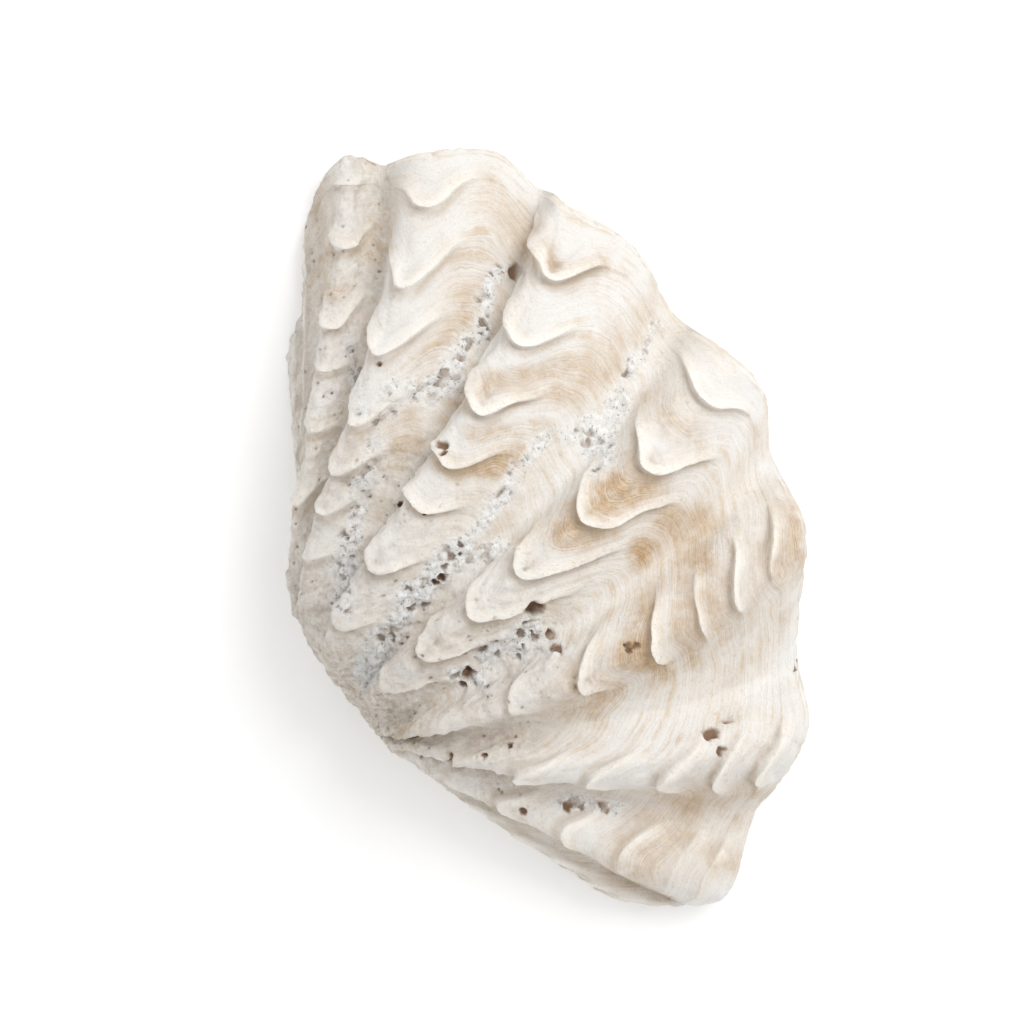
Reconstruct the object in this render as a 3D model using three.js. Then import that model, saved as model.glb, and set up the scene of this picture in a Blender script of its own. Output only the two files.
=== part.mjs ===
// A weathered valve of a fluted giant clam, lying on its rim with the ribbed outside up.
// Millimetres, +Z up. The rim and the hinge plate stand on z = 0, X runs along the valve's
// length, and Y runs from the umbo (the beak at the hinge) to the scalloped lower margin.
import * as THREE from 'three';

// Where the umbo lies, so that the middle of the valve's footprint is the origin
const UMBO = new THREE.Vector3(22.5, -65.2, 0);

// The valve grows as a spiral: its margin swings up round the hinge while it shrinks to the beak
const SHRINK = 0.664;
const SHRINK_FASTER = 0.127;
const CURL = 2.118;
const CURL_FROM = 1.0;
const SWING_END = 1.9;
const DOME = 0.89;
const BEAK_LIFT = 6;

// The back of the valve swells out behind the hinge on the long side, between these swings
const SWELL = 7;
const SWELL_FROM = -30;
const SWELL_TO = -110;
const SWELL_RISE = [0.95, 1.4];
const SWELL_FALL = [1.3, 1.8];

// The ribs on the short side draw in towards the hinge as they climb
const DRAW_IN = 0.92;
const DRAW_IN_MOST = 0.6;
const DRAW_IN_FROM = -40;
const DRAW_IN_TO = 60;

// Ribs in order round the margin, in the plane of the rim: points [along the hinge, out from
// it] on the crest, the flank and the foot of the fold, the height of the crest, the sideways
// lean of the rib in degrees, and its scales, each as the share of full size it grew at
const RIBS = [
  { crest: [-101.2, 30.6], flank: [-103.8, 33.0], foot: [-107.0, 36.0], height: 1.2, lean: 8,
    scales: [0.93, 0.83, 0.72, 0.62, 0.53, 0.44, 0.34] },
  { crest: [-119.5, 43.6], flank: [-127.2, 48.4], foot: [-133.2, 55.2], height: 4, lean: 1,
    scales: [0.94, 0.84, 0.72, 0.63, 0.54, 0.44, 0.33] },
  { crest: [-135.8, 65.0], flank: [-132.8, 70.6], foot: [-129.3, 74.8], height: 10, lean: -4.7,
    scales: [0.944, 0.841, 0.713, 0.641, 0.55, 0.444, 0.3] },
  { crest: [-126.2, 84.4], flank: [-118.2, 102.4], foot: [-103.0, 108.6], height: 14, lean: -9.3,
    scales: [0.901, 0.767, 0.676, 0.568, 0.5, 0.448, 0.367] },
  { crest: [-96.4, 111.4], flank: [-76.6, 124.0], foot: [-54.1, 125.2], height: 18, lean: -17.1,
    scales: [0.87, 0.779, 0.676, 0.6, 0.537, 0.44, 0.349] },
  { crest: [-39.4, 131.8], flank: [-25.4, 136.3], foot: [-8.1, 129.9], height: 19, lean: -15.7,
    scales: [0.901, 0.784, 0.692, 0.597, 0.515, 0.431, 0.331] },
  { crest: [11.8, 127.8], flank: [31.5, 117.0], foot: [45.2, 109.4], height: 19, lean: -19.6,
    scales: [0.91, 0.847, 0.79, 0.729, 0.626, 0.523, 0.4] },
  { crest: [59.8, 103.4], flank: [71.4, 88.4], foot: [75.4, 79.6], height: 16, lean: -19,
    scales: [0.907, 0.841, 0.756, 0.656, 0.555, 0.45, 0.34] },
  { crest: [89.8, 63.4], flank: [90.8, 56.4], foot: [88.2, 51.6], height: 10, lean: -6,
    scales: [0.925, 0.865, 0.767, 0.66, 0.56, 0.46, 0.34] },
  { crest: [82.4, 42.4], flank: [78.4, 37.6], foot: [73.8, 33.0], height: 6, lean: -8,
    scales: [0.93, 0.86, 0.76, 0.66, 0.56, 0.46, 0.34] },
];
const MARGIN_START = [-97.0, 26.0];
const WALL_STEPS = 3;
const FLANK_STEPS = 5;

// How a fold rises from the last one's foot and falls away from its crest on the gentle side
const WALL_ROUNDING = 2.4;
const CREST_WIDTH = 0.42;
const CREST_ROUNDING = 2.4;
// The folds are worn away at the beak: shares of full size between which they fade
const FOLDS_FADE = [0.1, 0.34];
// How much a fold takes of its neighbours' lean and scales at its two feet
const MIX_BEFORE = 0.3;
const MIX_AFTER = 0.7;

// Scales: raised lips across each rib's crest, steep towards the umbo and bowed towards it.
// Their height and bow go with the height of the rib.
const SCALE_HEIGHT = 0.17;
const SCALE_BOW = 0.02;
const SCALE_BOW_FADE = [0.3, 0.6];
const SCALE_STEP = 0.012;
const SCALE_CURVE = 1.6;
const SCALE_FLARE = 0.5;
const SCALE_AT_RIM = 0.15;
// Where on the steep wall a scale rises, and where on the gentle flank it has died out
const SCALE_WALL = [0.1, 0.8];
const SCALE_REACH = 0.55;
const ROWS_TO_SCALE = 3;
const ROWS_TO_BEAK = 8;

// Wall of the shell: thin at the rim, thick at the hinge, and less folded inside than outside
const RIM_THICKNESS = 3.2;
const WALL_THICKNESS = 6.5;
const WALL_FULL_AT = 0.35;
const HINGE_THICKNESS = 11;
const HINGE_FROM = 0.5;
const INSIDE_FOLDS = 0.85;
const INSIDE_DROP = 2;
const INSIDE_FOLDS_END = 0.6;
const INSIDE_RISE = 0.8;
const INSIDE_RISE_COLUMNS = 6;
const INSIDE_ROWS = 13;
const INSIDE_SWING = 1.55;
// The line along the middle of the cavity, which the wall is built round
const CAVITY = new THREE.Line3(new THREE.Vector3(-88, 62, 0), new THREE.Vector3(48, 42, 0));
// How far the foot of the hinge plate is drawn in, and the share of its length that it takes
const UNDERCUT = 3;
const UNDERCUT_BY = 0.3;

// Lumps of old growth, strongest near the hinge: products of two waves
const LUMP_WAVES = [
  { size: 1, first: new THREE.Vector3(0.61, 0.23, 0), second: new THREE.Vector3(0, 0.57, -0.31), shift: 0 },
  { size: 0.6, first: new THREE.Vector3(1.27, 0, -0.9), second: new THREE.Vector3(0, 1.1, 0), shift: 2 },
];
const LUMP = 1.1;
const LUMP_AT_RIM = 0.25;
const LUMP_FALL = [0.25, 0.8];
const LUMP_BEAK_FADE = [0.03, 0.3];

// Holes bored in the shell, each a pit at the nearest point of the surface
const PITS = [
  { at: [-4.5, 53.6], depth: 3 },
  { at: [48.5, 79.1], depth: 2.5 },
  { at: [-43.6, 35.0], depth: 2.5 },
];

const shellMaterial = new THREE.MeshStandardMaterial({ color: 0xe9e2d8, roughness: 0.62, metalness: 0 });

const smooth = (from, to, value) => THREE.MathUtils.smoothstep(value, from, to);

// Share of full size at a swing angle, and the swing angle at a share
function shareAt(swing) {
  const curl = Math.max(0, swing - CURL_FROM);
  return Math.exp(-(SHRINK * swing + SHRINK_FASTER * swing ** 2 + CURL * curl ** 2));
}

function swingAt(share) {
  const curled = share < shareAt(CURL_FROM);
  const square = SHRINK_FASTER + (curled ? CURL : 0);
  const linear = SHRINK - (curled ? 2 * CURL * CURL_FROM : 0);
  const constant = Math.log(share) + (curled ? CURL * CURL_FROM ** 2 : 0);
  return (-linear + Math.sqrt(linear ** 2 - 4 * square * constant)) / (2 * square);
}

// The margin in plan: a curve through the crest, flank and foot of every fold
const marginPoints = [MARGIN_START, ...RIBS.flatMap((rib) => [rib.crest, rib.flank, rib.foot])];
const marginPlan = new THREE.CatmullRomCurve3(
  marginPoints.map(([x, y]) => new THREE.Vector3(x, y, 0)),
  false,
  'centripetal',
);

// Height of a fold as a share of its rib's: rounded at the crest, steep before it, and easing
// into a hollow behind it. Wall runs from 0 at the foot of the last fold to 1 at the crest, and
// flank from 0 there to 1 at the next foot.
function foldHeight(wall, flank) {
  if (wall < 1) {
    return 1 - (1 - wall) ** WALL_ROUNDING;
  }
  const fall = (part) => 1 / (1 + (part / CREST_WIDTH) ** CREST_ROUNDING);
  return (fall(flank) - fall(1)) / (1 - fall(1));
}

// One column of the valve: a place on the margin and what its rib gives it there
function marginColumn(index, wall, flank) {
  const rib = RIBS[index];
  const before = RIBS[Math.max(index - 1, 0)];
  const after = RIBS[Math.min(index + 1, RIBS.length - 1)];
  const point = marginPlan.getPoint((3 * index + wall + 2 * flank) / (3 * RIBS.length));
  point.z = rib.height * foldHeight(wall, flank);

  const fromBefore = MIX_BEFORE * (1 - wall);
  const fromAfter = MIX_AFTER * smooth(0, 1, flank);
  const mix = (own, last, next) => own + fromBefore * (last - own) + fromAfter * (next - own);
  const scales = rib.scales.map((share, level) => {
    const own = mix(share, before.scales[level], after.scales[level]);
    const bow = SCALE_BOW * rib.height * (1 - foldHeight(wall, flank)) * smooth(...SCALE_BOW_FADE, own);
    return own + bow * own * (1 - own);
  });
  const onCrest = smooth(...SCALE_WALL, wall) * (1 - smooth(0, SCALE_REACH, flank));
  return {
    point,
    lean: THREE.MathUtils.degToRad(mix(rib.lean, before.lean, after.lean)),
    scales,
    scaleHeight: SCALE_HEIGHT * rib.height * onCrest,
  };
}

function marginColumns() {
  const columns = [];
  RIBS.forEach((rib, index) => {
    for (let step = 0; step < WALL_STEPS; step += 1) {
      columns.push(marginColumn(index, step / WALL_STEPS, 0));
    }
    for (let step = 0; step < FLANK_STEPS; step += 1) {
      columns.push(marginColumn(index, 1, step / FLANK_STEPS));
    }
  });
  columns.push(marginColumn(RIBS.length - 1, 1, 1));
  return columns;
}

// A point of the margin carried up the spiral, measured from the umbo
function grow(point, lean, swing) {
  const share = shareAt(swing);
  const turn = lean * (1 - share);
  const along = Math.cos(turn) * point.x - Math.sin(turn) * point.y;
  const out = Math.sin(turn) * point.x + Math.cos(turn) * point.y;
  const drawIn = DRAW_IN * smooth(DRAW_IN_FROM, DRAW_IN_TO, point.x);
  const narrowing = 1 - drawIn * Math.min(1 - Math.cos(swing), DRAW_IN_MOST);
  const height = point.z * smooth(...FOLDS_FADE, share);
  const back = smooth(...SWELL_RISE, swing) * (1 - smooth(...SWELL_FALL, swing));
  const swell = SWELL * back * (1 - smooth(SWELL_TO, SWELL_FROM, point.x));
  return new THREE.Vector3(
    share * along * narrowing,
    share * (out * Math.cos(swing) - height * Math.sin(swing)) - swell,
    share * (out * Math.sin(swing) * DOME + height * Math.cos(swing)) + BEAK_LIFT * (1 - share) ** 3,
  );
}

// Rows of one column from the margin to the beak: share of full size and lift of the scale
function columnRows(scales) {
  const rows = [{ share: 1, lift: SCALE_AT_RIM }];
  let from = 1;
  for (const share of scales) {
    for (let row = 1; row <= ROWS_TO_SCALE; row += 1) {
      const part = row / ROWS_TO_SCALE;
      rows.push({ share: THREE.MathUtils.lerp(from, share, part), lift: part ** SCALE_CURVE });
    }
    from = share - SCALE_STEP;
    rows.push({ share: from, lift: 0 });
  }
  const swingFrom = swingAt(from);
  for (let row = 1; row <= ROWS_TO_BEAK; row += 1) {
    const swing = THREE.MathUtils.lerp(swingFrom, SWING_END, row / ROWS_TO_BEAK);
    rows.push({ share: shareAt(swing), lift: 0 });
  }
  return rows;
}

// Pushes a point away from the middle of the cavity
function pushOut(point, distance) {
  const middle = CAVITY.closestPointToPoint(point, true, new THREE.Vector3());
  const ray = point.clone().sub(middle);
  return point.clone().addScaledVector(ray, distance / ray.length());
}

function lump(point, share) {
  const wave = LUMP_WAVES.reduce((sum, { size, first, second, shift }) => (
    sum + size * Math.sin(first.dot(point)) * Math.sin(second.dot(point) + shift)
  ), 0);
  const strength = THREE.MathUtils.lerp(LUMP, LUMP_AT_RIM, smooth(...LUMP_FALL, share));
  return wave * strength * smooth(...LUMP_BEAK_FADE, share);
}

// Outside of the valve: one column of points for each column of the margin, margin first
function outsideColumn({ point, lean, scales, scaleHeight }) {
  return columnRows(scales).map(({ share, lift }) => {
    const raise = scaleHeight * lift * Math.sqrt(share);
    const flared = point.clone().multiplyScalar(1 + SCALE_FLARE * raise / point.length());
    flared.z = point.z + raise;
    const place = grow(flared, lean, swingAt(share));
    return pushOut(place, share < 1 ? lump(place, share) : 0);
  });
}

function sinkPits(columns) {
  const points = columns.flat();
  for (const { at: [x, y], depth } of PITS) {
    const distance = (point) => Math.hypot(point.x - x, point.y - y);
    const nearest = points.reduce((best, point) => (distance(point) < distance(best) ? point : best));
    nearest.copy(pushOut(nearest, -depth));
  }
}

// Foot of the valve below an end column, on the ground and drawn in under it from the rim on
function footColumn(line) {
  const shares = lengthShares(line);
  return line.map((point, row) => {
    const inset = UNDERCUT * smooth(0, UNDERCUT_BY, shares[row]);
    return new THREE.Vector3(point.x, point.y + inset, 0);
  });
}

// Inside of the valve: the same growth, smoother and drawn in by the wall's thickness
function insideColumn({ point, lean }, innerFold, fromEnd) {
  const rim = pushOut(new THREE.Vector3(point.x, point.y, 0), -RIM_THICKNESS);
  return Array.from({ length: INSIDE_ROWS + 1 }, (_, row) => {
    const part = row / INSIDE_ROWS;
    const height = innerFold * (1 - smooth(0, INSIDE_FOLDS_END, part));
    const place = grow(new THREE.Vector3(rim.x, rim.y, height), lean, INSIDE_SWING * part);
    const wall = WALL_THICKNESS * smooth(0, WALL_FULL_AT, part);
    const hinge = (HINGE_THICKNESS - WALL_THICKNESS) * smooth(HINGE_FROM, 1, part);
    const inside = pushOut(place, -(wall + hinge));
    if (fromEnd === 0) {
      inside.z = 0;
    } else if (row > 0) {
      const leastRise = INSIDE_RISE * Math.min(fromEnd, INSIDE_RISE_COLUMNS) * part;
      inside.z = Math.max(inside.z, leastRise);
    }
    return inside;
  });
}

// How far along a line each of its points lies, from 0 to 1
function lengthShares(line) {
  const lengths = [0];
  for (let i = 1; i < line.length; i += 1) {
    lengths.push(lengths[i - 1] + line[i].distanceTo(line[i - 1]));
  }
  return lengths.map((length) => length / lengths[lengths.length - 1]);
}

function middle(line) {
  const sum = line.reduce((total, point) => total.add(point), new THREE.Vector3());
  return sum.divideScalar(line.length);
}

// Collects triangles by their corners, and leaves out those with two corners in one place
class Faces {
  constructor() {
    this.corners = [];
  }

  triangle(a, b, c) {
    if (a.equals(b) || b.equals(c) || c.equals(a)) {
      return;
    }
    this.corners.push(a, b, c);
  }

  // Grid between two columns of the same length
  strip(left, right) {
    for (let row = 0; row + 1 < left.length; row += 1) {
      this.triangle(left[row], right[row], right[row + 1]);
      this.triangle(left[row], right[row + 1], left[row + 1]);
    }
  }

  // Strip between two lines that have different numbers of points
  zip(left, right) {
    const leftShares = lengthShares(left);
    const rightShares = lengthShares(right);
    let i = 0;
    let j = 0;
    while (i + 1 < left.length || j + 1 < right.length) {
      const rightDone = j + 1 >= right.length;
      const leftNext = i + 1 < left.length && (rightDone || leftShares[i + 1] <= rightShares[j + 1]);
      if (leftNext) {
        this.triangle(left[i], left[i + 1], right[j]);
        i += 1;
      } else {
        this.triangle(left[i], right[j + 1], right[j]);
        j += 1;
      }
    }
  }

  // Closes a hole with triangles round the middle of its edge
  cap(edge) {
    const centre = middle(edge);
    edge.forEach((point, i) => this.triangle(centre, point, edge[(i + 1) % edge.length]));
  }

  geometry() {
    const positions = this.corners.flatMap((corner) => corner.toArray());
    const geometry = new THREE.BufferGeometry();
    geometry.setAttribute('position', new THREE.Float32BufferAttribute(positions, 3));
    geometry.computeVertexNormals();
    return geometry;
  }
}

function valveGeometry() {
  const margin = marginColumns();
  const last = margin.length - 1;
  const outside = margin.map(outsideColumn);
  sinkPits(outside);
  const footLeft = footColumn(outside[0]);
  const footRight = footColumn(outside[last]);
  const outer = [footLeft, ...outside, footRight];
  const inner = margin.map((column, index) => {
    const beside = margin.slice(Math.max(index - 1, 0), index + 2).map((neighbour) => neighbour.point.z);
    const innerFold = Math.max(0, INSIDE_FOLDS * Math.min(...beside) - INSIDE_DROP);
    return insideColumn(column, innerFold, Math.min(index, last - index));
  });

  const faces = new Faces();
  for (let index = 0; index + 1 < outer.length; index += 1) {
    faces.strip(outer[index + 1], outer[index]);
  }
  for (let index = 0; index < last; index += 1) {
    faces.strip(inner[index], inner[index + 1]);
  }

  // Tip of the beak and back of the cavity
  faces.cap(outer.map((column) => column[column.length - 1]).reverse());
  faces.cap(inner.map((column) => column[column.length - 1]));

  // Rim, from the outside edge to the inside edge
  for (let index = 0; index < last; index += 1) {
    faces.triangle(outside[index][0], outside[index + 1][0], inner[index + 1][0]);
    faces.triangle(outside[index][0], inner[index + 1][0], inner[index][0]);
  }

  // Flat hinge plate, from one end of the rim past the umbo to the other end
  const outerPlate = [...footLeft, ...footRight.slice().reverse()];
  const innerPlate = [...inner[0], ...inner[last].slice().reverse()];
  faces.zip(innerPlate, outerPlate);
  return faces.geometry();
}

const valve = new THREE.Group();
const shell = new THREE.Mesh(valveGeometry(), shellMaterial);
shell.name = 'clam_valve';
shell.position.copy(UMBO);
valve.add(shell);

export default valve;
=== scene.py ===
# A weathered valve of a fluted giant clam, ribbed side up, on a plain pale studio floor.
import math

import bpy
import numpy as np
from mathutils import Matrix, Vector


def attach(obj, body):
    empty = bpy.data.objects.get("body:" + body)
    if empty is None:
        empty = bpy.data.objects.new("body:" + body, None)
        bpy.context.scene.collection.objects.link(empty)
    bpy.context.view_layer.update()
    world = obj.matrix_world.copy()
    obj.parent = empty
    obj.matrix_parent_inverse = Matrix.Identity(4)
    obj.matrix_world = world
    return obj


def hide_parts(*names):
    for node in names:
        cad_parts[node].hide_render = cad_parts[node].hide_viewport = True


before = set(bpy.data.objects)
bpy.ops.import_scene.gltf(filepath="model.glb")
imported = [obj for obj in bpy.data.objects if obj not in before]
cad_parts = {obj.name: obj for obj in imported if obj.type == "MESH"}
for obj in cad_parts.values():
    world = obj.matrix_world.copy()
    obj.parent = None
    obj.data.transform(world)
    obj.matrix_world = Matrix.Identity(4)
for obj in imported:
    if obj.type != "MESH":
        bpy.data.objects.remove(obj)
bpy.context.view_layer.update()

MM = 0.001

# The photograph's view, which the camera and the marks on the shell share: straight down
# from CAMERA_HEIGHT over CAMERA_PLACE, in millimetres of the row frame
PHOTO_SIZE = 1024
CAMERA_PLACE = (-6.6, -5.3)
CAMERA_HEIGHT = 900
CAMERA_ROLL = math.radians(62)
FOCAL_PIXELS = 3290
SENSOR = 36

# Growth form, in millimetres, as in the solid: the margin swings up round the hinge while it
# shrinks to the beak
UMBO = np.array([22.5, -65.2, 0])
SHRINK = 0.664
SHRINK_FASTER = 0.127
CURL = 2.118
CURL_FROM = 1.0
SWING_END = 1.9
DOME = 0.89
BEAK_LIFT = 6
SWELL = 7
SWELL_FROM = -30
SWELL_TO = -110
SWELL_RISE = (0.95, 1.4)
SWELL_FALL = (1.3, 1.8)
DRAW_IN = 0.92
DRAW_IN_MOST = 0.6
DRAW_IN_FROM = -40
DRAW_IN_TO = 60
FOLDS_FADE = (0.1, 0.34)
MARGIN_START = (-97.0, 26.0)

# Each rib's crest, flank and foot on the margin, height, and lean in degrees
RIBS = [
    ((-101.2, 30.6), (-103.8, 33.0), (-107.0, 36.0), 1.2, 8),
    ((-119.5, 43.6), (-127.2, 48.4), (-133.2, 55.2), 4, 1),
    ((-135.8, 65.0), (-132.8, 70.6), (-129.3, 74.8), 10, -4.7),
    ((-126.2, 84.4), (-118.2, 102.4), (-103.0, 108.6), 14, -9.3),
    ((-96.4, 111.4), (-76.6, 124.0), (-54.1, 125.2), 18, -17.1),
    ((-39.4, 131.8), (-25.4, 136.3), (-8.1, 129.9), 19, -15.7),
    ((11.8, 127.8), (31.5, 117.0), (45.2, 109.4), 19, -19.6),
    ((59.8, 103.4), (71.4, 88.4), (75.4, 79.6), 16, -19),
    ((89.8, 63.4), (90.8, 56.4), (88.2, 51.6), 10, -6),
    ((82.4, 42.4), (78.4, 37.6), (73.8, 33.0), 6, -8),
]
# The share of full size at which each scale of a rib grew
SCALES = [
    (0.93, 0.83, 0.72, 0.62, 0.53, 0.44, 0.34),
    (0.94, 0.84, 0.72, 0.63, 0.54, 0.44, 0.33),
    (0.944, 0.841, 0.713, 0.641, 0.55, 0.444, 0.3),
    (0.901, 0.767, 0.676, 0.568, 0.5, 0.448, 0.367),
    (0.87, 0.779, 0.676, 0.6, 0.537, 0.44, 0.349),
    (0.901, 0.784, 0.692, 0.597, 0.515, 0.431, 0.331),
    (0.91, 0.847, 0.79, 0.729, 0.626, 0.523, 0.4),
    (0.907, 0.841, 0.756, 0.656, 0.555, 0.45, 0.34),
    (0.925, 0.865, 0.767, 0.66, 0.56, 0.46, 0.34),
    (0.93, 0.86, 0.76, 0.66, 0.56, 0.46, 0.34),
]
WALL_ROUNDING = 2.4
CREST_WIDTH = 0.42
CREST_ROUNDING = 2.4
MIX_BEFORE = 0.3
MIX_AFTER = 0.7

# Wall of the shell and its hollow, as in the solid
RIM_THICKNESS = 3.2
WALL_THICKNESS = 6.5
HINGE_THICKNESS = 11
# The wall is a little thicker under the grooves, which wear has deepened
GROOVE_WALL = 2.2
INSIDE_FOLDS = 0.85
INSIDE_DROP = 2
INSIDE_RISE = 0.8
INSIDE_SWING = 1.55
CAVITY = (np.array([-88.0, 62.0, 0.0]), np.array([48.0, 42.0, 0.0]))
UNDERCUT = 3
UNDERCUT_BY = 0.3

# How finely the growth form is sampled, before the mesh is thinned to TRIANGLES
COLUMNS_PER_RIB = 90
ROWS = 420
INSIDE_COLUMNS_PER_RIB = 16
INSIDE_ROWS = 60
COLUMNS_PER_SOLID_RIB = 8
LADDER_STEPS = 7
FOOT_STEPS = 10
TRIANGLES = 190000
SHARP_FROM = math.radians(55)
# How old the foot along the hinge side looks: it takes the darker old colour, which is partly painted shade
FOOT_AGED_AND_SHADED = 0.8

# Each rib's hoods: how far their middle lies past the crest and half their width, in
# millimetres of plan at full size, and how high they grew
HOOD_SHIFTS = (0, 1, 1, 3.5, 3.5, 2, 2, 7, -4, 0)
HOOD_WIDTHS = (3, 4.5, 4.6, 8.2, 8.8, 9.4, 9.4, 8.5, 9, 5)
SCALES_GROWN = (0.4, 0.5, 0.8, 1.0, 1.1, 1.15, 1.0, 1.1, 0.6, 0.35)
# Hoods narrow more slowly than the ribs they stand on
HOOD_NARROWING = 0.5
# The growth lines bow towards the umbo on a hood: how far they lag beside it, in scales
BOW_LAG = 0.62
BOW_LAG_OLD = 0.4
BOW_BLUR = 9
LIP_HEIGHT = 2.1
LIP_LEAST = 0.7
LIP_FLARE = 0.6
# A lip's profile in millimetres along the shell: its edge, the bead behind it, the long rise up
# to it, the dip at the start of that rise, and the drop in front of it
EDGE_WIDTH = 1.8
BEAD = (3.3, 0.8, 0.15)
RISE_LENGTH = 8
DIP = (6, 3, 0.22)
DROP_LENGTH = 0.8
# The highest rib's height, which the lips' height is measured by
FULL_RIB = 19
SCALES_VARY = (0.65, 1.15)
SCALES_MOST = 24
SHORT_SIDE_FROM = 6
# The rounded tube of each row of hoods stands out and the surface beside it is sunken
TUBE_HEIGHT = 1.1
TUBE_SUNK = 0.9
# Wear takes most of what stands above this height
WORN_ABOVE = 56.9
WORN_LEFT = 0.35
# How much of a rib's columns the rounding of a groove reaches over
GROOVE_ROUNDING = 0.06
# How far the worn edge of the rim is rounded off and chipped, in millimetres, and how far the
# umbo lies from it
EDGE_ROUNDING = 0.7
EDGE_CHIPS = 0.9
MARGIN_REACH = 130
# Height of the growth lines, size of the crust's blocks and spacing of the pocks, in millimetres
GROWTH_LINES = 0.11
CRUST_BLOCK = 1.9
POCK_SPACING = 1.2
# The first ribs are rough all over
ROUGH_RIBS = 3
# More than the number of scales on a rib, to store how far a place has grown in 0 to 1
LEVELS = 14

# How much wider and deeper the stains are than listed
STAINS_WIDER = 1.25
STAINS_DEEPER = 1.2
# How far the marks' edges wander, in pixels of the photograph
STROKES_WOBBLE = 7
HOLE_RAGGED = 2.6
# Places in pixels of the photograph: start, end, width and strength of each mark
STAINS = [
    ((438, 362), (472, 312), 16, 0.6),
    ((464, 256), (504, 232), 14, 0.5),
    ((351, 254), (363, 250), 8, 0.5),
    ((330, 292), (345, 286), 8, 0.6),
    ((324, 190), (328, 262), 10, 0.5),
    ((528, 238), (546, 262), 12, 0.6),
    ((460, 400), (523, 375), 8, 0.6),
    ((523, 375), (579, 358), 8, 0.5),
    ((521, 392), (579, 390), 8, 0.5),
    ((476, 437), (543, 433), 9, 0.6),
    ((447, 468), (516, 458), 11, 0.8),
    ((571, 534), (637, 482), 18, 1.0),
    ((500, 545), (571, 534), 10, 0.4),
    ((662, 405), (690, 446), 14, 0.7),
    ((645, 555), (670, 521), 10, 0.8),
    ((660, 515), (709, 522), 10, 0.6),
    ((684, 530), (706, 580), 16, 0.6),
    ((764, 560), (800, 530), 26, 0.6),
    ((757, 580), (757, 618), 7, 0.7),
    ((653, 630), (726, 596), 34, 0.6),
    ((577, 700), (640, 658), 22, 1.0),
    ((666, 665), (689, 658), 14, 0.7),
    ((640, 855), (700, 820), 30, 0.5),
    ((729, 800), (751, 790), 12, 0.6),
    ((697, 852), (727, 862), 14, 0.5),
    ((367, 712), (400, 734), 14, 0.6),
    ((447, 660), (488, 640), 18, 0.7),
    ((520, 620), (543, 612), 12, 0.5),
    ((372, 455), (402, 436), 18, 0.7),
    ((560, 280), (600, 262), 10, 0.5),
]
CRUSTS = [
    ((430, 400), (474, 336), 9, 0.6),
    ((500, 270), (474, 345), 9, 0.75),
    ((392, 398), (452, 384), 13, 0.7),
    ((346, 330), (360, 410), 8, 0.5),
    ((384, 395), (372, 470), 10, 0.55),
    ((372, 470), (352, 545), 9, 0.7),
    ((346, 545), (340, 600), 12, 0.7),
    ((500, 500), (462, 545), 9, 0.75),
    ((462, 545), (430, 580), 13, 1.0),
    ((430, 580), (395, 622), 13, 0.95),
    ((395, 622), (366, 670), 13, 0.9),
    ((548, 432), (500, 500), 8, 0.6),
    ((622, 392), (596, 440), 11, 0.7),
    ((606, 446), (602, 474), 8, 0.8),
    ((560, 440), (600, 418), 8, 0.5),
    ((488, 655), (528, 636), 15, 0.8),
    ((455, 672), (478, 682), 9, 0.85),
    ((660, 322), (622, 392), 6, 0.6),
    ((560, 798), (612, 806), 5, 0.7),
    ((500, 640), (556, 650), 8, 0.5),
    ((425, 590), (505, 545), 8, 0.6),
]
# Smooth places without scales
CALM = [
    ((738, 645), (778, 600), 34, 0.85),
    ((715, 690), (770, 668), 30, 0.7),
    ((640, 878), (690, 872), 26, 0.8),
    ((385, 190), (330, 175), 22, 0.4),
    ((700, 560), (712, 600), 14, 0.5),
]
# Rounded knobs, with their height in millimetres
DOMES = [
    ((620, 878), (702, 868), 24, 1.6),
    ((668, 764), (694, 750), 13, 1.3),
    ((720, 744), (742, 728), 14, 1.3),
    ((764, 768), (784, 744), 12, 1.2),
    ((722, 562), (738, 505), 15, 1.0),
]
# How much of their depth the holes keep, and how much wider they are than their radius
HOLE_DEPTH = 0.65
HOLE_WIDER = 1.15
# Limits of the relief in millimetres, so that the wall isn't broken through
DEEPEST_AT_RIM = 1.2
DEEPEST = 4.5
DEEPEST_IN_GROOVE = 0.6
HIGHEST = 4.2
# Bored holes and gaps: centre and radius in pixels of the photograph, depth in millimetres
HOLES = [
    ((517, 271), 7.5, 2.6),
    ((535, 607), 8.5, 4.5),
    ((551, 635), 4.5, 2.5),
    ((556, 648), 5.0, 2.5),
    ((728, 716), 5.0, 2.5),
    ((710, 733), 7.0, 3.0),
    ((718, 750), 4.5, 2.0),
    ((447, 446), 3.0, 2.0),
    ((445, 452), 2.6, 1.6),
    ((381, 366), 2.6, 1.6),
    ((402, 505), 3.2, 2.2),
    ((425, 512), 3.0, 2.0),
    ((443, 578), 4.0, 2.5),
    ((436, 584), 3.2, 2.2),
    ((468, 676), 6.0, 2.2),
    ((462, 686), 2.6, 1.6),
    ((570, 805), 6.0, 2.2),
    ((603, 803), 5.5, 2.2),
    ((523, 811), 4.0, 1.6),
    ((510, 744), 2.6, 1.6),
    ((486, 757), 3.0, 1.8),
    ((451, 757), 2.4, 1.4),
    ((627, 648), 3.4, 1.6),
    ((633, 645), 2.6, 1.4),
    ((795, 667), 1.8, 1.4),
    ((799, 662), 1.8, 1.6),
    ((803, 657), 1.8, 1.6),
    ((807, 652), 2.0, 1.6),
]

# Studio: brightness of the surround and the floor, and the key light over the photograph's
# upper right corner, with its place in metres
SURROUND = 0.84
FLOOR_SIZE = 6
FLOOR_COLOUR = (0.94, 0.94, 0.94, 1)
FLOOR_GLOW = 0.11
KEY_AWAY = 1.0
KEY_UP = 1.1
KEY_SIZE = 0.8
KEY_ENERGY = 9


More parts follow.
